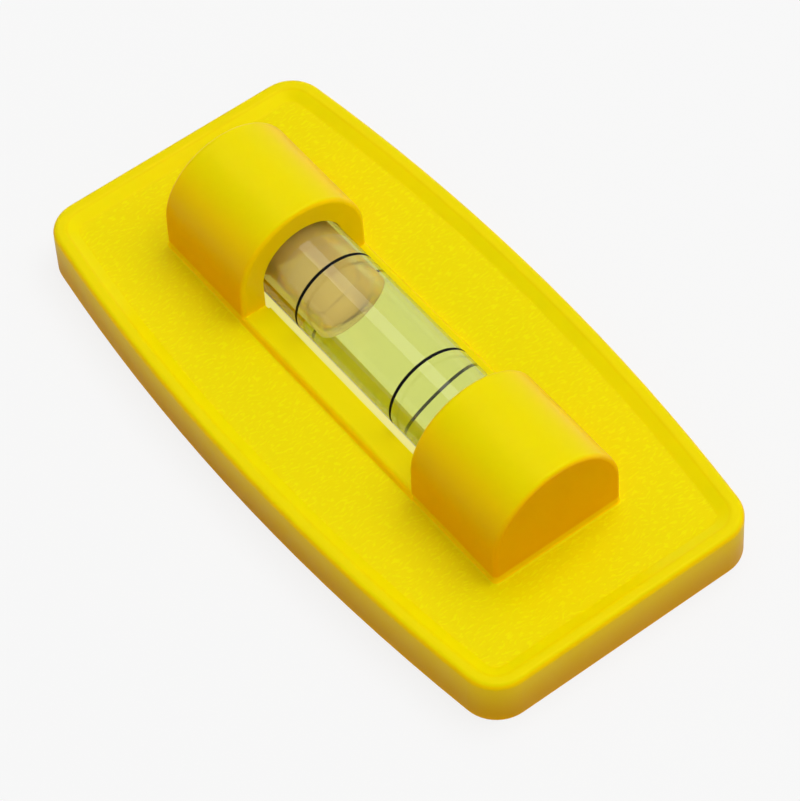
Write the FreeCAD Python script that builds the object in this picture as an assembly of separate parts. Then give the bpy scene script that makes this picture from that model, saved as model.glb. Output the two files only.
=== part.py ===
"""Small plate spirit level: a moulded plate carries a tubular vial in two arched housings.

X runs along the vial, Y across the plate and Z up. The origin lies on the underside,
below the middle of the plate. Lengths are in millimetres and angles in degrees.
"""
import FreeCAD, Part
import math
import os

# Plate: a barrel-shaped outline with rounded corners, and a raised rim round a lower field.
plate_length = 60.0           # over the feet of the end walls
plate_middle_width = 30.6     # over the feet of the side walls, at mid length
plate_end_width = 26.0        # where side and end would meet if the corner were sharp
corner_radius = 3.2
plate_height = 4.47           # underside to the crest of the rim
field_level = 3.85            # underside to the recessed field
plate_draft = 0.6             # lean of the outer wall
rim_crest_inset = 1.05        # foot of the outer wall to the inner edge of the crest
rim_foot_inset = 2.2          # foot of the outer wall to the foot of the rim's inner slope
rim_outer_round = 0.5
rim_inner_round = 0.7
rim_foot_round = 0.5

# Underside: cored out to an even wall, with ribs that tie the channel walls to the outer wall.
outer_wall = 1.6
field_wall = 1.5
channel_wall = 1.5            # each side of the window and of the seats
rib_thickness = 1.1
rib_station = 11.6            # distance of the cross ribs from mid length

# Platform: a smooth raised strip between the housings, with the window for the vial.
platform_width = 12.6
platform_step = 0.75          # height above the field
platform_edge_round = 0.5
window_width = 7.75           # a little under the vial's diameter, so that the vial snaps through

# Housings: two arches, closed at their outer ends.
housing_gap = 21.8            # clear length of vial between them
housing_length = 10.75
housing_width = 12.34         # over the sides, where the arch starts
arch_center_height = 7.1
housing_draft = 1.0           # lean of the sides below the arch
housing_edge_round = 0.4
housing_foot_round = 0.25
housing_end_wall = 1.6
pocket_wall = 1.3             # between the vial's seat and the cored pocket behind it

# Vial: a barrel with one closed end, a plug, two index lines, liquid and an air bubble.
vial_diameter = 8.0
vial_axis_height = 7.1
vial_end_chamfer = 0.4
closed_end_thickness = 1.7
bore_length = 28.6
bore_end_diameter = 5.6
bore_crown = 0.1              # gain of the bore's radius at its middle
plug_length = 2.3
plug_ledge = 0.35             # step of the bore that the plug sits on
plug_recess = 0.34            # depth of the plug's outer face inside the barrel
index_spacing = 12.28
index_line_width = 0.26
index_line_depth = 0.1
bubble_length = 12.1
bubble_diameter = 4.84
bubble_nose = 1.9             # length of each rounded end of the bubble

# Fits and clearances
seat_clearance = 0.05         # between the barrel and its round seats
end_clearance = 0.12          # between the barrel's ends and the seats' ends
snap_bead_radius = 0.8
snap_bead_length = 4.0
snap_bead_start = 1.0         # from the housing's inner face
snap_bead_angle = 25.5        # below the level of the vial's axis
film_thickness = 0.06         # liquid between the bubble and the top of the bore's ends
bubble_end_gap = 0.12         # bubble to the end of the bore, at each end of its travel
cavity_clearance = 0.04       # between the bubble and the liquid round it

X_AXIS = FreeCAD.Vector(1, 0, 0)
BEYOND = 5.0                  # how far cutting tools run past what they cut

housing_start = housing_gap / 2
housing_end = housing_start + housing_length
platform_level = field_level + platform_step
underside_roof = field_level - field_wall
vial_radius = vial_diameter / 2
vial_length = closed_end_thickness + bore_length + plug_length + plug_recess
vial_start = -vial_length / 2
bore_start = vial_start + closed_end_thickness
bore_end = bore_start + bore_length
bore_middle = (bore_start + bore_end) / 2
bore_end_radius = bore_end_diameter / 2
plug_radius = bore_end_radius + plug_ledge
seat_radius = vial_radius + seat_clearance
seat_half_length = vial_length / 2 + end_clearance
bubble_radius = bubble_diameter / 2
bubble_rise = bore_end_radius - film_thickness - bubble_radius
bubble_axis_height = vial_axis_height + bubble_rise
bubble_start = bore_start + bubble_end_gap
bubble_travel = bore_length - bubble_length - 2 * bubble_end_gap


def vector(x, y, z):
    return FreeCAD.Vector(x, y, z)


def lean(height, angle):
    """Sideways shift of a drafted wall over a height."""
    return height * math.tan(math.radians(angle))


def box(x_range, y_range, z_range):
    lengths = [high - low for low, high in (x_range, y_range, z_range)]
    return Part.makeBox(*lengths, vector(x_range[0], y_range[0], z_range[0]))


def polygon_prism(points, shift):
    """Solid between a closed polygon and its copy moved by a shift."""
    return Part.Face(Part.makePolygon(points + points[:1])).extrude(shift)


def mirrored(shape):
    """The same shape at the other end of the plate."""
    return shape.mirror(vector(0, 0, 0), X_AXIS)


def level_edges(shape, height):
    """Edges that lie flat at a height."""
    bounds = [(edge, edge.BoundBox) for edge in shape.Edges]
    return [edge for edge, b in bounds if abs(b.ZMin - height) + abs(b.ZMax - height) < 1e-4]


# ---- Plate ----

def plate_outline(inset, height):
    """Closed barrel-shaped wire at a height, moved inwards by an inset."""
    half_length = plate_length / 2
    half_width = plate_middle_width / 2
    bulge = (plate_middle_width - plate_end_width) / 2
    side_radius = (half_length ** 2 + bulge ** 2) / (2 * bulge)
    corner_x = half_length - corner_radius
    side_center_y = half_width - side_radius
    corner_y = side_center_y + math.sqrt((side_radius - corner_radius) ** 2 - corner_x ** 2)
    side_angle = math.atan2(corner_y - side_center_y, corner_x)
    radius = corner_radius - inset

    def corner_point(angle, sign_x, sign_y):
        x = corner_x + radius * math.cos(angle)
        y = corner_y + radius * math.sin(angle)
        return vector(sign_x * x, sign_y * y, height)

    edges = []
    for sign_x in (1, -1):
        end_line = Part.LineSegment(corner_point(0, sign_x, -1), corner_point(0, sign_x, 1))
        edges.append(end_line.toShape())
        for sign_y in (1, -1):
            on_corner = [corner_point(side_angle * share, sign_x, sign_y) for share in (0, 0.5, 1)]
            edges.append(Part.Arc(*on_corner).toShape())
    for sign_y in (1, -1):
        left = corner_point(side_angle, -1, sign_y)
        right = corner_point(side_angle, 1, sign_y)
        middle = vector(0, sign_y * (half_width - inset), height)
        edges.append(Part.Arc(left, middle, right).toShape())
    return Part.Wire(Part.__sortEdges__(edges))


def plate_prism(low_inset, low, high_inset, high):
    """Solid between the outline at two heights, each with its own inset."""
    return Part.makeLoft([plate_outline(low_inset, low), plate_outline(high_inset, high)], True, True)


def rimmed_plate():
    """Plate with its raised rim, solid below the field."""
    plate = plate_prism(0, 0, lean(plate_height, plate_draft), plate_height)
    plate = plate.makeFillet(rim_outer_round, level_edges(plate, plate_height))
    slope = (rim_foot_inset - rim_crest_inset) / (plate_height - field_level)
    top = plate_height + BEYOND
    recess_top_inset = rim_crest_inset - slope * BEYOND
    plate = plate.cut(plate_prism(rim_foot_inset, field_level, recess_top_inset, top))
    crest_middle = plate_length / 2 - (rim_crest_inset + rim_outer_round) / 2
    crest = [e for e in level_edges(plate, plate_height) if e.BoundBox.XMax < crest_middle]
    plate = plate.makeFillet(rim_inner_round, crest)
    return plate.makeFillet(rim_foot_round, level_edges(plate, field_level))


def underside_core():
    """What is cored out below the field, between the outer wall, the channel and the ribs."""
    drafted_wall = outer_wall + lean(underside_roof, plate_draft)
    core = plate_prism(outer_wall, 0, drafted_wall, underside_roof)
    depth = (-BEYOND, underside_roof + BEYOND)
    everywhere = (-plate_length, plate_length)
    half_rib = rib_thickness / 2
    channel_reach = window_width / 2 + channel_wall
    kept = [box((-housing_end, housing_end), (-channel_reach, channel_reach), depth),
            box(everywhere, (-half_rib, half_rib), depth)]
    for station in (-rib_station, rib_station):
        kept.append(box((station - half_rib, station + half_rib), everywhere, depth))
    for solid in kept:
        core = core.cut(solid)
    return core


# ---- Platform and housings ----

def platform():
    """Raised strip that runs from one housing to the other."""
    half = platform_width / 2
    start = -housing_start - housing_edge_round
    root = underside_roof
    foot = half + lean(platform_level - root, housing_draft)
    points = [vector(start, -foot, root), vector(start, foot, root),
              vector(start, half, platform_level), vector(start, -half, platform_level)]
    strip = polygon_prism(points, vector(-2 * start, 0, 0))
    long_edges = [e for e in level_edges(strip, platform_level) if e.BoundBox.XLength > housing_gap]
    return strip.makeFillet(platform_edge_round, long_edges)


def arch_prism(half_width, root_half_width, root, center, x_range):
    """Solid along X with upright or leaning sides and a round top."""
    x = x_range[0]
    left = vector(x, -half_width, center)
    right = vector(x, half_width, center)
    root_left = vector(x, -root_half_width, root)
    root_right = vector(x, root_half_width, root)
    top = vector(x, 0, center + half_width)
    edges = [Part.LineSegment(root_left, left), Part.Arc(left, top, right),
             Part.LineSegment(right, root_right), Part.LineSegment(root_right, root_left)]
    section = Part.Wire([edge.toShape() for edge in edges])
    return Part.Face(section).extrude(vector(x_range[1] - x, 0, 0))


def housing():
    """Arched housing at the +X end, solid inside."""
    half = housing_width / 2
    root = underside_roof
    root_half = half + lean(arch_center_height - root, housing_draft)
    arch = arch_prism(half, root_half, root, arch_center_height, (housing_start, housing_end))
    end_edges = [e for e in arch.Edges if e.BoundBox.XLength < 1e-4 and e.BoundBox.ZMax > root + 1e-4]
    return arch.makeFillet(housing_edge_round, end_edges)


# ---- Seat of the vial ----

def seat():
    """Round-roofed channel in the +X housing that holds one end of the vial, and the pocket behind it."""
    below = -BEYOND
    channel = arch_prism(seat_radius, seat_radius, below, vial_axis_height,
                         (housing_start - housing_edge_round, seat_half_length))
    pocket = arch_prism(seat_radius, seat_radius, below, vial_axis_height,
                        (seat_half_length + pocket_wall, housing_end - housing_end_wall))
    return channel.fuse(pocket)


def window():
    """Opening through the plate between the housings."""
    half = window_width / 2
    return box((-housing_start, housing_start), (-half, half), (-BEYOND, platform_level + BEYOND))


def snap_beads():
    """Two beads in the +X seat that hold the vial up against the roof of its seat."""
    reach = vial_radius + seat_clearance + snap_bead_radius
    angle = math.radians(snap_bead_angle)
    start = housing_start + snap_bead_start
    height = vial_axis_height - reach * math.sin(angle)
    beads = []
    for side in (-1, 1):
        foot = vector(start, side * reach * math.cos(angle), height)
        beads.append(Part.makeCylinder(snap_bead_radius, snap_bead_length, foot, X_AXIS))
    return beads


def body_moulding():
    """The yellow moulding: plate, rim, platform and both housings in one piece."""
    arch = housing()
    body = rimmed_plate().cut(underside_core()).fuse([platform(), arch, mirrored(arch)])
    body = body.cut([seat(), mirrored(seat()), window()])
    beads = snap_beads()
    body = body.fuse(beads + [mirrored(bead) for bead in beads]).removeSplitter()
    reach = housing_end + housing_foot_round
    foot = [e for e in level_edges(body, field_level) if e.BoundBox.XMax < reach and e.BoundBox.XMin > -reach]
    return body.makeFillet(housing_foot_round, foot)


# ---- Vial ----

def revolved(edges, axis_height):
    """Solid of revolution of a closed outline about an axis along X."""
    face = Part.Face(Part.Wire(edges))
    return face.revolve(vector(0, 0, axis_height), X_AXIS, 360)


def bore_tool():
    """The barrel-shaped space inside the barrel, from its closed end to the plug."""
    axis = vial_axis_height
    start = vector(bore_start, 0, axis + bore_end_radius)
    crown = vector(bore_middle, 0, axis + bore_end_radius + bore_crown)
    end = vector(bore_end, 0, axis + bore_end_radius)
    rest = Part.makePolygon([end, vector(bore_end, 0, axis), vector(bore_start, 0, axis), start])
    return revolved([Part.Arc(start, crown, end).toShape()] + rest.Edges, axis)


def cylinder(radius, start, end, axis_height):
    return Part.makeCylinder(radius, end - start, vector(start, 0, axis_height), X_AXIS)


def index_line(side):
    """Band of paint that fills its groove in the barrel."""
    middle = bore_middle + side * index_spacing / 2
    ends = (middle - index_line_width / 2, middle + index_line_width / 2)
    outer = cylinder(vial_radius, *ends, vial_axis_height)
    return outer.cut(cylinder(vial_radius - index_line_depth, *ends, vial_axis_height))


def vial_barrel():
    """Clear barrel with a closed end, a crowned bore and two shallow grooves."""
    barrel = cylinder(vial_radius, vial_start, vial_start + vial_length, vial_axis_height)
    end_edges = [e for e in barrel.Edges if e.BoundBox.XLength < vial_radius]
    barrel = barrel.makeChamfer(vial_end_chamfer, end_edges)
    mouth = cylinder(plug_radius, bore_end, vial_start + vial_length + BEYOND, vial_axis_height)
    return barrel.cut([bore_tool(), mouth, index_line(-1), index_line(1)])


def vial_plug():
    """Disc that closes the barrel's open end."""
    return cylinder(plug_radius, bore_end, bore_end + plug_length, vial_axis_height)


def nose_points(tip, side, radius, nose):
    """Three points of the arc from the bubble's flank to its tip. The nose is part of a ball."""
    ball_radius = (radius ** 2 + nose ** 2) / (2 * nose)
    spread = math.asin(radius / ball_radius)
    points = []
    for angle in (spread, spread / 2, 0):
        x = tip - side * ball_radius * (1 - math.cos(angle))
        points.append(vector(x, 0, bubble_axis_height + ball_radius * math.sin(angle)))
    return points


def bubble_shape(allowance):
    """Bubble with a rounded nose at each end, grown all over by an allowance."""
    radius = bubble_radius + allowance
    nose = bubble_nose + allowance
    left = nose_points(bubble_start - allowance, -1, radius, nose)
    right = nose_points(bubble_start + bubble_length + allowance, 1, radius, nose)
    outline = [Part.Arc(*left).toShape(), Part.makeLine(left[0], right[0]),
               Part.Arc(*right).toShape(), Part.makeLine(right[-1], left[-1])]
    return revolved(outline, bubble_axis_height)


def air_bubble():
    return bubble_shape(0)


def vial_liquid():
    """Liquid that fills the bore round the bubble."""
    return bore_tool().cut(bubble_shape(cavity_clearance))


NODES = {
    "body_moulding": body_moulding,
    "vial_barrel": vial_barrel,
    "vial_plug": vial_plug,
    "vial_liquid": vial_liquid,
    "air_bubble": air_bubble,
    "index_line_left": lambda: index_line(-1),
    "index_line_right": lambda: index_line(1),
}

os.makedirs("parts", exist_ok=True)
for name, build in NODES.items():
    shape = build()
    shape.exportStep("parts/" + name + ".step")
    volume = shape.Volume / 1000
    print(name, "solids", len(shape.Solids), "valid", shape.isValid(), "cm3", round(volume, 3))
print("bubble travel", round(bubble_travel, 3), "bubble start", round(bubble_start, 3))
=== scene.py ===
"""Looks of a small plate spirit level: finishes, vial, floor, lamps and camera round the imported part.

X runs along the vial, Y across the plate and Z up, in metres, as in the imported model.
"""
import logging
import math
from dataclasses import dataclass, field
from enum import Enum
from typing import Any, Optional, Sequence

import bpy
from mathutils import Matrix, Vector


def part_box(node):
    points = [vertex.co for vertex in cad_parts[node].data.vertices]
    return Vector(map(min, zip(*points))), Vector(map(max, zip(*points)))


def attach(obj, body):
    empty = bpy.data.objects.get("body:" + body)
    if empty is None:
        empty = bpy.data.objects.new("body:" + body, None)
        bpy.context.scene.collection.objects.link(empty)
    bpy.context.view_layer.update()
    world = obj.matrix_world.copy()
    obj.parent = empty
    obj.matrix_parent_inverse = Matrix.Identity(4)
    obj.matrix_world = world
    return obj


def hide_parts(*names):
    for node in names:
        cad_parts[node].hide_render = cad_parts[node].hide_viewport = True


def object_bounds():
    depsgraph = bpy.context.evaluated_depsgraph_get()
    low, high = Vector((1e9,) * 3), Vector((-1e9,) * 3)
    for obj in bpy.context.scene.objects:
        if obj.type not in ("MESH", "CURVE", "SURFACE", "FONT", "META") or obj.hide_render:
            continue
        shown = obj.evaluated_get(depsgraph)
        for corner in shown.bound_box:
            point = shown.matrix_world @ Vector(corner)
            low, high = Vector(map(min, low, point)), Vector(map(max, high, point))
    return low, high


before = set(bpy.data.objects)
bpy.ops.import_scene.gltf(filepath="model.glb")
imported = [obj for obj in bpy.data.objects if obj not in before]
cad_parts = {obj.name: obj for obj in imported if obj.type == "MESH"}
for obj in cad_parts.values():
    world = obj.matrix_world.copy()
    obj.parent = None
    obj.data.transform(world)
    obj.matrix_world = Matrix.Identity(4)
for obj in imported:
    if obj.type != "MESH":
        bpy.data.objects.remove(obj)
cad_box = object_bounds()

LOG = logging.getLogger("plate_level")
MM = 0.001


class Node(str, Enum):
    """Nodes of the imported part."""

    BODY = "body_moulding"
    BARREL = "vial_barrel"
    PLUG = "vial_plug"
    LIQUID = "vial_liquid"
    BUBBLE = "air_bubble"
    LINE_LEFT = "index_line_left"
    LINE_RIGHT = "index_line_right"


class Body(str, Enum):
    """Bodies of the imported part."""

    LEVEL = "level"
    BUBBLE = "bubble"


class Slot(str, Enum):
    """Material slots."""

    MOULDING = "yellow_moulding"
    ACRYLIC = "clear_acrylic"
    LIQUID = "vial_liquid"
    AIR = "air"
    PAINT = "black_paint"


# ---- Small tools ----

def linear(hex_colour: str) -> tuple[float, float, float, float]:
    """Turns an sRGB hex colour into the linear colour that shaders take.

    Args:
        hex_colour: Six hex digits, such as "EFDC05".

    Returns:
        Red, green, blue and an alpha of 1.
    """
    channels = [int(hex_colour[i:i + 2], 16) / 255 for i in (0, 2, 4)]
    curve = [c / 12.92 if c <= 0.04045 else ((c + 0.055) / 1.055) ** 2.4 for c in channels]
    return curve[0], curve[1], curve[2], 1.0


def add_node(tree: bpy.types.NodeTree, kind: str, inputs: Optional[dict[Any, Any]] = None,
             **settings: Any) -> bpy.types.Node:
    """Adds a shader node with its settings, values and links.

    Args:
        tree: Node tree that gets the node.
        kind: Blender's name of the node type, without its "ShaderNode" prefix.
        inputs: Socket name or number to a value, or to an output socket to link from.
        settings: Attributes of the node.

    Returns:
        The new node.
    """
    node = tree.nodes.new("ShaderNode" + kind)
    for name, value in settings.items():
        setattr(node, name, value)
    for key, value in (inputs or {}).items():
        socket = node.inputs[key]
        if isinstance(value, bpy.types.NodeSocket):
            tree.links.new(value, socket)
        else:
            socket.default_value = value
    return node


def new_material(name: str) -> tuple[bpy.types.Material, bpy.types.NodeTree]:
    """Makes a material with an empty node tree.

    Args:
        name: Name of the material.

    Returns:
        The material and its node tree.
    """
    material = bpy.data.materials.new(name)
    material.use_nodes = True
    material.node_tree.nodes.clear()
    return material, material.node_tree


def finish_material(tree: bpy.types.NodeTree, shader: bpy.types.NodeSocket) -> None:
    """Links a shader to the material's output."""
    add_node(tree, "OutputMaterial", {"Surface": shader})


def within(tree: bpy.types.NodeTree, point: bpy.types.Node,
           reach: tuple[float, float]) -> bpy.types.NodeSocket:
    """Adds a mask of an upright block about the middle.

    Args:
        tree: Node tree of the material.
        point: Separate XYZ node of the coordinates.
        reach: Half sizes of the block along X and Y.

    Returns:
        Socket that is 1 in the block and 0 outside.
    """
    masks = []
    for axis, limit in zip("XY", reach):
        length = add_node(tree, "Math", {0: point.outputs[axis]}, operation="ABSOLUTE")
        masks.append(add_node(tree, "Math", {0: length.outputs[0], 1: limit}, operation="LESS_THAN"))
    both = add_node(tree, "Math", {0: masks[0].outputs[0], 1: masks[1].outputs[0]}, operation="MULTIPLY")
    return both.outputs[0]


def set_material(piece: bpy.types.Object, material: bpy.types.Material) -> None:
    """Gives a piece one material in place of what it has."""
    piece.data.materials.clear()
    piece.data.materials.append(material)


def lathe(name: str, profile: Sequence[tuple[float, float]], axis_height: float,
          segments: int = 192, sharp_degrees: float = 25.0) -> bpy.types.Object:
    """Turns a profile about an axis along X.

    Args:
        name: Name of the object.
        profile: Closed or pole-to-pole list of (x, radius) points, with the solid on the right
            of the way they run when x grows at the outside.
        axis_height: Height of the axis.
        segments: Steps round the axis.
        sharp_degrees: Angle between faces above which an edge stays sharp.

    Returns:
        The new mesh object, linked to the scene.
    """
    vertices: list[tuple[float, float, float]] = []
    rings: list[list[int]] = []
    for x, radius in profile:
        if radius < 1e-9:
            rings.append([len(vertices)] * segments)
            vertices.append((x, 0.0, axis_height))
            continue
        rings.append(list(range(len(vertices), len(vertices) + segments)))
        for step in range(segments):
            angle = 2 * math.pi * step / segments
            vertices.append((x, radius * math.sin(angle), axis_height + radius * math.cos(angle)))
    closed = profile[0][1] > 1e-9
    pairs = list(zip(rings, rings[1:] + rings[:1])) if closed else list(zip(rings, rings[1:]))
    faces = []
    for low, high in pairs:
        for step in range(segments):
            after = (step + 1) % segments
            corners = [low[step], high[step], high[after], low[after]]
            face = list(dict.fromkeys(corners))
            if len(face) > 2:
                faces.append(face)
    mesh = bpy.data.meshes.new(name)
    mesh.from_pydata(vertices, [], faces)
    mesh.validate()
    mesh.shade_smooth()
    mesh.set_sharp_from_angle(angle=math.radians(sharp_degrees))
    piece = bpy.data.objects.new(name, mesh)
    bpy.context.scene.collection.objects.link(piece)
    return piece


# ---- Finishes ----

@dataclass(frozen=True)
class YellowMoulding:
    """Injection-moulded ABS in a warm, fully pigmented yellow.

    The eye sees an even, saturated yellow. Painted shade turns faces to a deeper orange as they
    tilt towards upright, and runs the plate's own walls from a darker, dull gold low down to a
    painted bright band under the rim. Painted light makes the rim's inner slope, the housings'
    faces towards the vial and the walls of the vial's well paler, in place of light thrown from
    wall to wall. Light sinks about a millimetre into the plastic, red the furthest, so edges glow
    a little and creases stay soft.
    The gloss is wide and faint, with slight mottling on the polished faces, and the recessed
    field has the short wavy strokes of an etched mould, whose paler colour is a painted highlight.
    """

    lit: str = "F0DC00"
    # painted shade: the deeper orange of the housings' upright walls
    deep_shade: str = "F5B000"
    # paler colour of the field's strokes and of the rim's inner slope: painted highlight and painted light
    pale: str = "F4E600"
    # painted shade on faces that tilt away from up
    turning_shade: str = "FFD400"
    # painted shade low on the plate's walls, painted light under the rim
    foot_shade: str = "EEB000"
    brow_light: str = "FFD600"
    # painted light on the housings' faces towards the vial
    facing_vial_light: str = "FFD800"
    # painted light on the walls of the vial's well
    well_wall_light: str = "FFF850"
    gloss_tint: str = "FFEC5A"
    gloss_level: float = 0.2
    roughness: float = 0.36
    ior: float = 1.46
    sink: float = 0.9 * MM
    sink_colours: tuple[float, float, float] = (1.0, 0.5, 0.1)
    field_level: float = 3.85 * MM
    crest_level: float = 4.4 * MM
    wall_foot: float = 0.5 * MM
    field_blend: tuple[float, float] = (0.1 * MM, 0.02 * MM)
    edge_blend: float = 0.1 * MM
    housing_blend: float = 0.4 * MM
    face_blend: float = 0.5 * MM
    slope_light: float = 0.7
    turning_rise: tuple[float, float] = (0.95, 0.6)
    upright_rise: tuple[float, float] = (0.75, 0.0)
    slope_rise: tuple[float, float] = (0.72, 0.86)
    tilted_rise: tuple[float, float] = (0.96, 0.9)
    flat_rise: tuple[float, float] = (0.9, 0.98)
    well: tuple[float, float] = (12.0 * MM, 4.05 * MM)
    well_top: float = 4.62 * MM
    inner_face: float = 10.9 * MM
    stroke_length: float = 0.6 * MM
    stroke_width: float = 0.2 * MM
    stroke_height: float = 0.007 * MM
    stroke_grain: tuple[float, float] = (0.51, 0.66)
    mottle_size: float = 3.0 * MM
    mottle_height: float = 0.006 * MM
    mottle_grain: tuple[float, float] = (0.35, 0.65)
    gloss_swing: tuple[float, float] = (-0.04, 0.05)

    def build(self) -> bpy.types.Material:
        """Builds the material.

        Returns:
            The finished material.
        """
        material, tree = new_material("yellow_abs_moulded")
        place = add_node(tree, "TexCoord")
        colour, strokes = self._colour_and_strokes(tree, place)
        mottle = add_node(tree, "TexNoise", {"Vector": place.outputs["Object"], "Scale": 1 / self.mottle_size,
                                             "Detail": 3.0, "Roughness": 0.6})
        mottle_bump = add_node(tree, "Bump", {"Height": mottle.outputs["Fac"], "Distance": self.mottle_height,
                                              "Strength": 1.0})
        stroke_bump = add_node(tree, "Bump", {"Height": strokes, "Distance": self.stroke_height,
                                              "Strength": 1.0, "Normal": mottle_bump.outputs[0]})
        gloss = add_node(tree, "MapRange", {"Value": mottle.outputs["Fac"],
                                            "From Min": self.mottle_grain[0],
                                            "From Max": self.mottle_grain[1],
                                            "To Min": self.roughness + self.gloss_swing[0],
                                            "To Max": self.roughness + self.gloss_swing[1]})
        shader = add_node(tree, "BsdfPrincipled", {"Base Color": colour,
                                                   "Roughness": gloss.outputs[0], "IOR": self.ior,
                                                   "Specular IOR Level": self.gloss_level,
                                                   "Specular Tint": linear(self.gloss_tint),
                                                   "Subsurface Weight": 1.0,
                                                   "Subsurface Radius": self.sink_colours,
                                                   "Subsurface Scale": self.sink,
                                                   "Normal": stroke_bump.outputs[0]},
                          subsurface_method="BURLEY")
        finish_material(tree, shader.outputs[0])
        return material

    def _colour_and_strokes(
            self, tree: bpy.types.NodeTree, place: bpy.types.Node
    ) -> tuple[bpy.types.NodeSocket, bpy.types.NodeSocket]:
        """Adds the moulding's colour, with its painted shade and painted light, and the mask of the field's
        strokes.

        Args:
            tree: Node tree of the material.
            place: Texture Coordinate node.

        Returns:
            Socket of the colour and socket of the mask.
        """
        point = add_node(tree, "SeparateXYZ", {0: place.outputs["Object"]})
        height = point.outputs["Z"]
        rise = add_node(tree, "SeparateXYZ", {0: place.outputs["Normal"]}).outputs["Z"]
        masks = {"turning_shade": (rise, *self.turning_rise), "upright": (rise, *self.upright_rise),
                 "slope": (rise, *self.slope_rise), "tilted": (rise, *self.tilted_rise),
                 "flat": (rise, *self.flat_rise),
                 "under_crest": (height, self.crest_level, self.crest_level - self.edge_blend),
                 "low": (height, *(self.field_level + margin for margin in self.field_blend))}
        part = {}
        for name, (value, start, end) in masks.items():
            mask = add_node(tree, "MapRange", {"Value": value, "From Min": start, "From Max": end},
                            interpolation_type="SMOOTHSTEP")
            part[name] = mask.outputs[0]
        # painted light on the rim's inner slope
        products = {"rim_slope_light": (part["slope"], part["tilted"], part["under_crest"], self.slope_light),
                    "strokes": (self._strokes(tree, place.outputs["Object"]), part["low"], part["flat"])}
        for name, (product, *factors) in products.items():
            for factor in factors:
                product = add_node(tree, "Math", {0: product, 1: factor}, operation="MULTIPLY").outputs[0]
            part[name] = product
        # painted highlight on the strokes and painted light on the rim's inner slope
        light = add_node(tree, "Math", {0: part["strokes"], 1: part["rim_slope_light"]}, operation="MAXIMUM")
        colour = linear(self.lit)
        # painted shade on tilted and upright faces, then the paler painted light
        for share, other in ((part["turning_shade"], linear(self.turning_shade)),
                             (part["upright"], self._walls(tree, point)),
                             (light.outputs[0], linear(self.pale))):
            mix = add_node(tree, "Mix", {"Factor": share, "A": colour, "B": other}, data_type="RGBA")
            colour = mix.outputs["Result"]
        return colour, part["strokes"]

    def _walls(self, tree: bpy.types.NodeTree, point: bpy.types.Node) -> bpy.types.NodeSocket:
        """Adds the colour of upright walls, by where they stand: painted shade low on the plate's walls,
        painted light under the rim, on the housings' faces towards the vial and in the vial's well.

        Args:
            tree: Node tree of the material.
            point: Separate XYZ node of the coordinates.

        Returns:
            Socket of the colour.
        """
        height = point.outputs["Z"]
        along = add_node(tree, "Math", {0: point.outputs["X"]}, operation="ABSOLUTE").outputs[0]
        masks = {"brow_light": (height, self.wall_foot, self.crest_level),
                 "facing": (along, self.inner_face + self.face_blend, self.inner_face),
                 "raised": (height, self.crest_level, self.crest_level + self.housing_blend),
                 "well": (height, self.well_top + self.edge_blend, self.well_top)}
        part = {}
        for name, (value, start, end) in masks.items():
            mask = add_node(tree, "MapRange", {"Value": value, "From Min": start, "From Max": end},
                            interpolation_type="SMOOTHSTEP")
            part[name] = mask.outputs[0]
        in_well = add_node(tree, "Math", {0: within(tree, point, self.well), 1: part["well"]},
                           operation="MULTIPLY")
        # painted shade low on the plate's walls, painted light under the rim
        plate = add_node(tree, "Mix", {"Factor": part["brow_light"], "A": linear(self.foot_shade),
                                       "B": linear(self.brow_light)}, data_type="RGBA")
        # painted shade on the housings' upright walls, painted light on their faces towards the vial
        housing = add_node(tree, "Mix", {"Factor": part["facing"], "A": linear(self.deep_shade),
                                         "B": linear(self.facing_vial_light)}, data_type="RGBA")
        walls = add_node(tree, "Mix", {"Factor": part["raised"], "A": plate.outputs["Result"],
                                       "B": housing.outputs["Result"]}, data_type="RGBA")
        # painted light in the vial's well
        shown = add_node(tree, "Mix", {"Factor": in_well.outputs[0], "A": walls.outputs["Result"],
                                       "B": linear(self.well_wall_light)}, data_type="RGBA")
        return shown.outputs["Result"]

    def _strokes(self, tree: bpy.types.NodeTree, where: bpy.types.NodeSocket) -> bpy.types.NodeSocket:
        """Adds the short wavy strokes of the etched field.

        Args:
            tree: Node tree of the material.
            where: Coordinates in metres.

        Returns:
            Socket that is 1 on a stroke and 0 between strokes.
        """
        bend = add_node(tree, "TexNoise", {"Vector": where, "Scale": 1 / (4 * self.stroke_length),
                                           "Detail": 2.0})
        shift = add_node(tree, "VectorMath", {0: bend.outputs["Color"], "Scale": 2 * self.stroke_length},
                         operation="SCALE")
        bent = add_node(tree, "VectorMath", {0: where, 1: shift.outputs[0]}, operation="ADD")
        scaled = add_node(tree, "Mapping", {"Vector": bent.outputs[0],
                                            "Scale": (1 / self.stroke_width, 1 / self.stroke_length, 1.0)})
        grain = add_node(tree, "TexNoise", {"Vector": scaled.outputs[0], "Scale": 1.0, "Detail": 1.5,
                                            "Roughness": 0.5})
        crest = add_node(tree, "MapRange", {"Value": grain.outputs["Fac"], "From Min": self.stroke_grain[0],
                                            "From Max": self.stroke_grain[1]},
                         interpolation_type="SMOOTHSTEP")
        return crest.outputs[0]


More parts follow.
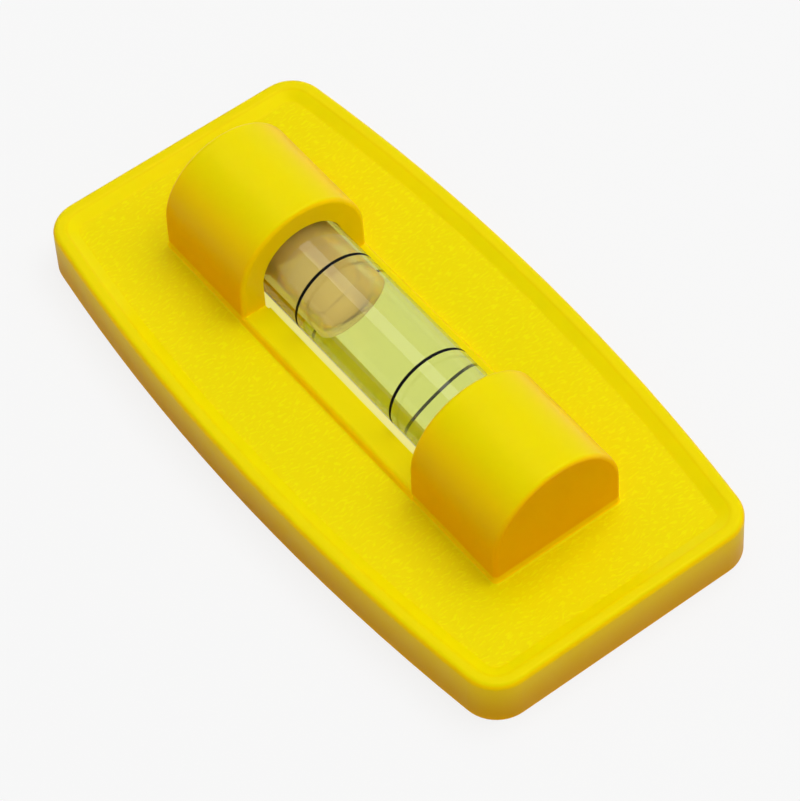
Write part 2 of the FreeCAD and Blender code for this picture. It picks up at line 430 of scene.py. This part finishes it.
def lets_light_through(tree: bpy.types.NodeTree, shader: bpy.types.NodeSocket,
                       tint: str) -> bpy.types.NodeSocket:
    """Lets lamp light and bounced light pass a clear piece, so that the vial's well isn't dark.

    Args:
        tree: Node tree of the material.
        shader: How the piece looks.
        tint: Colour that the light keeps at each surface.

    Returns:
        The mixed shader.
    """
    ray = add_node(tree, "LightPath")
    passed = add_node(tree, "BsdfTransparent", {"Color": linear(tint)})
    soft = add_node(tree, "Math", {0: ray.outputs["Is Shadow Ray"], 1: ray.outputs["Is Diffuse Ray"]},
                    operation="MAXIMUM")
    mixed = add_node(tree, "MixShader", {0: soft.outputs[0], 1: shader, 2: passed.outputs[0]})
    return mixed.outputs[0]


@dataclass(frozen=True)
class ClearAcrylic:
    """Polished moulded acrylic: clear, colourless, with sharp small highlights."""

    tint: str = "FCFDFB"
    shade: str = "FFFFFF"
    roughness: float = 0.0
    ior: float = 1.49

    def build(self) -> bpy.types.Material:
        """Builds the material.

        Returns:
            The finished material.
        """
        material, tree = new_material("clear_acrylic")
        shader = add_node(tree, "BsdfPrincipled", {"Base Color": linear(self.tint),
                                                   "Roughness": self.roughness, "IOR": self.ior,
                                                   "Transmission Weight": 1.0})
        finish_material(tree, lets_light_through(tree, shader.outputs[0], self.shade))
        return material


@dataclass(frozen=True)
class LevelLiquid:
    """Dyed alcohol: a clear, light yellow-green that deepens where the column is thick."""

    tint: str = "E4EA78"
    shade: str = "FBFCE8"
    roughness: float = 0.0
    ior: float = 1.36

    def build(self) -> bpy.types.Material:
        """Builds the material.

        Returns:
            The finished material.
        """
        material, tree = new_material("dyed_alcohol")
        shader = add_node(tree, "BsdfPrincipled", {"Base Color": linear(self.tint),
                                                   "Roughness": self.roughness, "IOR": self.ior,
                                                   "Transmission Weight": 1.0})
        finish_material(tree, lets_light_through(tree, shader.outputs[0], self.shade))
        return material


@dataclass(frozen=True)
class TrappedAir:
    """Air inside the liquid: its surface bends what lies behind, under a faint warm haze."""

    liquid_ior: float = 1.36
    softness: float = 0.14
    tint: str = "F6E6DA"
    haze: str = "FFDCB4"
    haze_share: float = 0.42
    shade: str = "FFFFFF"

    def build(self) -> bpy.types.Material:
        """Builds the material.

        Returns:
            The finished material.
        """
        material, tree = new_material("trapped_air")
        glass = add_node(tree, "BsdfGlass", {"Color": linear(self.tint), "Roughness": self.softness,
                                             "IOR": 1 / self.liquid_ior})
        haze = add_node(tree, "BsdfDiffuse", {"Color": linear(self.haze)})
        shader = add_node(tree, "MixShader", {0: self.haze_share, 1: glass.outputs[0], 2: haze.outputs[0]})
        finish_material(tree, lets_light_through(tree, shader.outputs[0], self.shade))
        return material


@dataclass(frozen=True)
class BlackPaint:
    """Filled-in enamel: a dense, nearly matt black with slightly uneven gloss."""

    colour: str = "020202"
    roughness: float = 0.6
    gloss_level: float = 0.1
    gloss_swing: float = 0.15
    ior: float = 1.5
    grain: float = 0.4 * MM

    def build(self) -> bpy.types.Material:
        """Builds the material.

        Returns:
            The finished material.
        """
        material, tree = new_material("black_enamel")
        place = add_node(tree, "TexCoord")
        noise = add_node(tree, "TexNoise", {"Vector": place.outputs["Object"], "Scale": 1 / self.grain})
        gloss = add_node(tree, "MapRange", {"Value": noise.outputs["Fac"],
                                            "To Min": self.roughness - self.gloss_swing,
                                            "To Max": self.roughness + self.gloss_swing})
        shader = add_node(tree, "BsdfPrincipled", {"Base Color": linear(self.colour),
                                                   "Roughness": gloss.outputs[0], "IOR": self.ior,
                                                   "Specular IOR Level": self.gloss_level})
        finish_material(tree, shader.outputs[0])
        return material


# ---- The level ----

@dataclass
class Moulding:
    """The yellow moulding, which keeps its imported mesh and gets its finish."""

    finish: YellowMoulding = field(default_factory=YellowMoulding)

    def dress(self) -> bpy.types.Object:
        """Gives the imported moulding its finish.

        Returns:
            The moulding.
        """
        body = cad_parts[Node.BODY.value]
        set_material(body, self.finish.build())
        return body


@dataclass
class Vial:
    """The vial: barrel, plug, liquid, bubble and two painted lines.

    The pieces that light passes through are turned again in fine steps, so that they bend it
    smoothly. Each keeps the form of its solid.
    """

    bore_end_radius: float = 2.8 * MM
    bore_crown: float = 0.1 * MM
    chamfer: float = 0.4 * MM
    bubble_nose: float = 1.9 * MM
    line_depth: float = 0.1 * MM
    contact: float = 0.004 * MM
    acrylic: ClearAcrylic = field(default_factory=ClearAcrylic)
    liquid: LevelLiquid = field(default_factory=LevelLiquid)
    air: TrappedAir = field(default_factory=TrappedAir)
    paint: BlackPaint = field(default_factory=BlackPaint)

    def __post_init__(self) -> None:
        """Reads the places of the vial's solids."""
        low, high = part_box(Node.BARREL.value)
        self.start, self.end = low.x, high.x
        self.axis = (low.z + high.z) / 2
        self.radius = (high.z - low.z) / 2
        low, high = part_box(Node.LIQUID.value)
        self.bore = (low.x, high.x)
        low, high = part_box(Node.PLUG.value)
        self.plug = (low.x, high.x)
        self.plug_radius = (high.z - low.z) / 2
        low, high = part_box(Node.BUBBLE.value)
        self.bubble = (low.x, high.x)
        self.bubble_radius = (high.z - low.z) / 2
        self.bubble_axis = (low.z + high.z) / 2

    def bore_points(self, allowance: float = 0.0, steps: int = 48) -> list[tuple[float, float]]:
        """Follows the crowned bore from its closed end to the plug.

        Args:
            allowance: Added to the radius.
            steps: Pieces that the length is divided into.

        Returns:
            Points of x and radius.
        """
        start, end = self.bore
        points = []
        for step in range(steps + 1):
            share = step / steps
            crown = self.bore_crown * (1 - (2 * share - 1) ** 2)
            points.append((start + share * (end - start), self.bore_end_radius + crown + allowance))
        return points

    def groove_points(self) -> list[tuple[float, float]]:
        """Follows the barrel's outside past both grooves, which hold the paint with no air between.

        Returns:
            Points of x and radius, from left to right.
        """
        points = []
        for name in (Node.LINE_LEFT, Node.LINE_RIGHT):
            low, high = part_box(name.value)
            floor = self.radius - self.line_depth + self.contact
            points += [(low.x + self.contact, self.radius), (low.x + self.contact, floor),
                       (high.x - self.contact, floor), (high.x - self.contact, self.radius)]
        return points

    def build_barrel(self) -> bpy.types.Object:
        """Turns the barrel with its bore, the plug's seat and both grooves.

        Returns:
            The barrel.
        """
        outside = [(self.start, 0.0), (self.start, self.radius - self.chamfer),
                   (self.start + self.chamfer, self.radius)]
        outside += self.groove_points()
        outside += [(self.end - self.chamfer, self.radius), (self.end, self.radius - self.chamfer),
                    (self.end, self.plug_radius), (self.bore[1], self.plug_radius)]
        inside = list(reversed(self.bore_points()))
        return lathe("barrel_turned", outside + inside + [(self.bore[0], 0.0)], self.axis)

    def build_liquid(self) -> bpy.types.Object:
        """Turns the liquid, which wets the bore.

        Returns:
            The liquid.
        """
        points = self.bore_points(self.contact)
        start = (points[0][0] - self.contact, 0.0)
        end = (points[-1][0] + self.contact, 0.0)
        points[0] = (start[0], points[0][1])
        points[-1] = (end[0], points[-1][1])
        return lathe("liquid_column", [start] + points + [end], self.axis)

    def build_bubble(self, steps: int = 24) -> bpy.types.Object:
        """Turns the bubble with its two ball-shaped noses.

        Args:
            steps: Pieces that each nose is divided into.

        Returns:
            The bubble.
        """
        ball = (self.bubble_radius ** 2 + self.bubble_nose ** 2) / (2 * self.bubble_nose)
        spread = math.asin(self.bubble_radius / ball)
        left, right = [], []
        for step in range(steps + 1):
            angle = spread * step / steps
            depth = ball * (1 - math.cos(angle))
            left.append((self.bubble[0] + depth, ball * math.sin(angle)))
            right.append((self.bubble[1] - depth, ball * math.sin(angle)))
        return lathe("bubble_surface", left + list(reversed(right)), self.bubble_axis)

    def build(self) -> list[bpy.types.Object]:
        """Builds the vial's pieces and joins them to the frame.

        Returns:
            The pieces.
        """
        acrylic, liquid, air, paint = [f.build() for f in (self.acrylic, self.liquid, self.air, self.paint)]
        made = [(self.build_barrel(), acrylic, Body.LEVEL, Node.BARREL, Slot.ACRYLIC),
                (self.build_liquid(), liquid, Body.LEVEL, Node.LIQUID, Slot.LIQUID),
                (self.build_bubble(), air, Body.BUBBLE, Node.BUBBLE, Slot.AIR)]
        pieces = []
        for piece, material, body, node, slot in made:
            set_material(piece, material)
            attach(piece, body.value)
            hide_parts(node.value)
            pieces.append(piece)
        set_material(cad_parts[Node.PLUG.value], acrylic)
        for name in (Node.LINE_LEFT, Node.LINE_RIGHT):
            set_material(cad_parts[name.value], paint)
        return pieces + [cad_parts[n.value] for n in (Node.PLUG, Node.LINE_LEFT, Node.LINE_RIGHT)]


# ---- Studio ----

@dataclass(frozen=True)
class PaleFloor:
    """Matt white board, pale round the level and through its window, with a soft shadow.

    The eye sees an almost even near-white with a faint shadow where the level stands on it.
    Inside the vial's well the board, as the camera sees it, glows a yellow that stands in for
    light thrown from the yellow walls: painted light. Under the level it lets the fill light
    through, and from below it isn't seen, so that the underside can be looked at.
    """

    seen: str = "F8F8F8"
    # painted light: yellow glow of the board inside the vial's well
    well_glow_painted_light: str = "EFE684"
    bounced: str = "C8C8C8"
    glow_direct: float = 0.88
    glow_mirrored: float = 0.1
    glow_through: float = 0.95
    well: tuple[float, float] = (28.0 * MM, 11.0 * MM)
    footprint: tuple[float, float] = (30.0 * MM, 15.3 * MM)

    def build(self) -> bpy.types.Material:
        """Builds the material.

        Returns:
            The finished material.
        """
        material, tree = new_material("pale_floor")
        ray = add_node(tree, "LightPath")
        place = add_node(tree, "TexCoord")
        point = add_node(tree, "SeparateXYZ", {0: place.outputs["Object"]})
        in_well = within(tree, point, self.well)
        under_level = within(tree, point, self.footprint)
        seen = add_node(tree, "BsdfDiffuse", {"Color": linear(self.seen)})
        bounced = add_node(tree, "BsdfDiffuse", {"Color": linear(self.bounced)})
        glow = add_node(tree, "Emission", {"Color": linear(self.seen), "Strength": 1.0})
        # painted light: the board glows yellow inside the vial's well, in place of light from the walls
        view_colour_with_well_light = add_node(tree, "Mix", {"Factor": in_well, "A": linear(self.seen),
                                             "B": linear(self.well_glow_painted_light)}, data_type="RGBA")
        view_glow = add_node(tree, "Emission", {"Color": view_colour_with_well_light.outputs["Result"], "Strength": 1.0})
        direct = add_node(tree, "MixShader", {0: self.glow_direct, 1: seen.outputs[0],
                                              2: view_glow.outputs[0]})
        mirrored = add_node(tree, "MixShader", {0: self.glow_mirrored, 1: bounced.outputs[0],
                                                2: glow.outputs[0]})
        through = add_node(tree, "MixShader", {0: self.glow_through, 1: seen.outputs[0], 2: glow.outputs[0]})
        mixed = bounced
        for path, shader in (("Is Glossy Ray", mirrored), ("Is Transmission Ray", through),
                             ("Is Camera Ray", direct)):
            mixed = add_node(tree, "MixShader", {0: ray.outputs[path], 1: mixed.outputs[0],
                                                 2: shader.outputs[0]})
        below = add_node(tree, "NewGeometry").outputs["Backfacing"]
        fill = add_node(tree, "Math", {0: ray.outputs["Is Shadow Ray"], 1: ray.outputs["Is Diffuse Ray"]},
                        operation="MAXIMUM")
        under = add_node(tree, "Math", {0: fill.outputs[0], 1: under_level}, operation="MULTIPLY")
        passing = add_node(tree, "Math", {0: below, 1: under.outputs[0]}, operation="MAXIMUM")
        clear = add_node(tree, "BsdfTransparent")
        board = add_node(tree, "MixShader", {0: passing.outputs[0], 1: mixed.outputs[0], 2: clear.outputs[0]})
        finish_material(tree, board.outputs[0])
        return material


@dataclass(frozen=True)
class Lamp:
    """A soft lamp that faces the object, or a card seen only in mirrored light."""

    name: str
    azimuth: float
    elevation: float
    distance: float
    size: float
    watts: float
    mirrored_only: bool = False

    def build(self, target: Vector) -> bpy.types.Object:
        """Builds the lamp.

        Args:
            target: Point that it faces.

        Returns:
            The lamp.
        """
        data = bpy.data.lights.new(self.name, "AREA")
        data.shape = "SQUARE"
        data.size = self.size
        data.energy = self.watts
        lamp = bpy.data.objects.new(self.name, data)
        bpy.context.scene.collection.objects.link(lamp)
        away = direction(self.azimuth, self.elevation)
        lamp.location = target + away * self.distance
        lamp.rotation_euler = away.to_track_quat("Z", "Y").to_euler()
        if self.mirrored_only:
            lamp.visible_diffuse = False
            lamp.visible_transmission = False
        return lamp


def direction(azimuth: float, elevation: float) -> Vector:
    """Unit vector towards a place round the object.

    Args:
        azimuth: Degrees round Z, where 0 is in front, on the -Y side, and 90 on the +X side.
        elevation: Degrees above the floor.

    Returns:
        The unit vector.
    """
    turn, rise = math.radians(azimuth), math.radians(elevation)
    return Vector((math.sin(turn) * math.cos(rise), -math.cos(turn) * math.cos(rise), math.sin(rise)))


@dataclass
class Studio:
    """Floor, lamps, world and camera."""

    camera_azimuth: float = 55.474
    camera_elevation: float = 53.28
    camera_roll: float = -3.76
    camera_distance: float = 307.69 * MM
    aim_right: float = 0.813 * MM
    aim_up: float = -0.212 * MM
    lens: float = 171.73
    sensor: float = 36.0
    floor_reach: float = 3.0
    floor_gap: float = 0.01 * MM
    world_level: float = 0.5
    world_colour: str = "FFFFFF"
    backdrop_colour: str = "F8F8F8"
    floor: PaleFloor = field(default_factory=PaleFloor)
    lamps: tuple[Lamp, ...] = (
        Lamp("overhead_softbox", 172.0, 70.0, 0.8, 0.6, 3.75),
        Lamp("vial_streak_card", 264.5, 60.3, 0.8, 0.36, 0.7, mirrored_only=True),
    )

    def build_camera(self) -> bpy.types.Object:
        """Builds the camera, which looks down on the level from its near right end.

        Returns:
            The camera.
        """
        data = bpy.data.cameras.new("camera")
        data.sensor_width = self.sensor
        data.sensor_fit = "HORIZONTAL"
        data.lens = self.lens
        data.clip_start = 0.01
        data.clip_end = 20.0
        camera = bpy.data.objects.new("camera", data)
        bpy.context.scene.collection.objects.link(camera)
        back = direction(self.camera_azimuth, self.camera_elevation)
        level_right = Vector((-back.y, back.x, 0.0)).normalized()
        level_up = back.cross(level_right)
        roll = math.radians(self.camera_roll)
        right = math.cos(roll) * level_right + math.sin(roll) * level_up
        up = math.cos(roll) * level_up - math.sin(roll) * level_right
        turn = Matrix((right, up, back)).transposed().to_4x4()
        place = right * self.aim_right + up * self.aim_up + back * self.camera_distance
        camera.matrix_world = Matrix.Translation(place) @ turn
        bpy.context.scene.camera = camera
        return camera

    def build_floor(self) -> bpy.types.Object:
        """Builds the floor just under the level.

        Returns:
            The floor.
        """
        reach = self.floor_reach
        mesh = bpy.data.meshes.new("floor")
        corners = [(-reach, -reach, 0.0), (reach, -reach, 0.0), (reach, reach, 0.0), (-reach, reach, 0.0)]
        mesh.from_pydata(corners, [], [(0, 1, 2, 3)])
        floor = bpy.data.objects.new("floor", mesh)
        bpy.context.scene.collection.objects.link(floor)
        floor.location.z = cad_box[0].z - self.floor_gap
        set_material(floor, self.floor.build())
        return floor

    def build_world(self) -> None:
        """Lights the level evenly from all round, with a pale backdrop."""
        world = bpy.data.worlds.new("studio")
        world.use_nodes = True
        tree = world.node_tree
        tree.nodes.clear()
        ray = add_node(tree, "LightPath")
        fill = add_node(tree, "Background", {"Color": linear(self.world_colour),
                                             "Strength": self.world_level})
        backdrop = add_node(tree, "Background", {"Color": linear(self.backdrop_colour), "Strength": 1.0})
        mixed = add_node(tree, "MixShader", {0: ray.outputs["Is Camera Ray"], 1: fill.outputs[0],
                                             2: backdrop.outputs[0]})
        add_node(tree, "OutputWorld", {"Surface": mixed.outputs[0]})
        bpy.context.scene.world = world

    def build(self) -> None:
        """Builds the whole studio."""
        middle = (cad_box[0] + cad_box[1]) / 2
        self.build_floor()
        self.build_world()
        for lamp in self.lamps:
            lamp.build(middle)
        self.build_camera()
        settings = bpy.context.scene.view_settings
        settings.view_transform = "Standard"


def main() -> None:
    """Builds the level's looks and its studio, and reports each piece."""
    logging.basicConfig(level=logging.INFO, format="%(name)s: %(message)s")
    pieces = [Moulding().dress()] + Vial().build()
    for piece in pieces:
        LOG.info("%s: %d faces, %s", piece.name, len(piece.data.polygons), piece.data.materials[0].name)
    Studio().build()


if __name__ == "__main__":
    main()
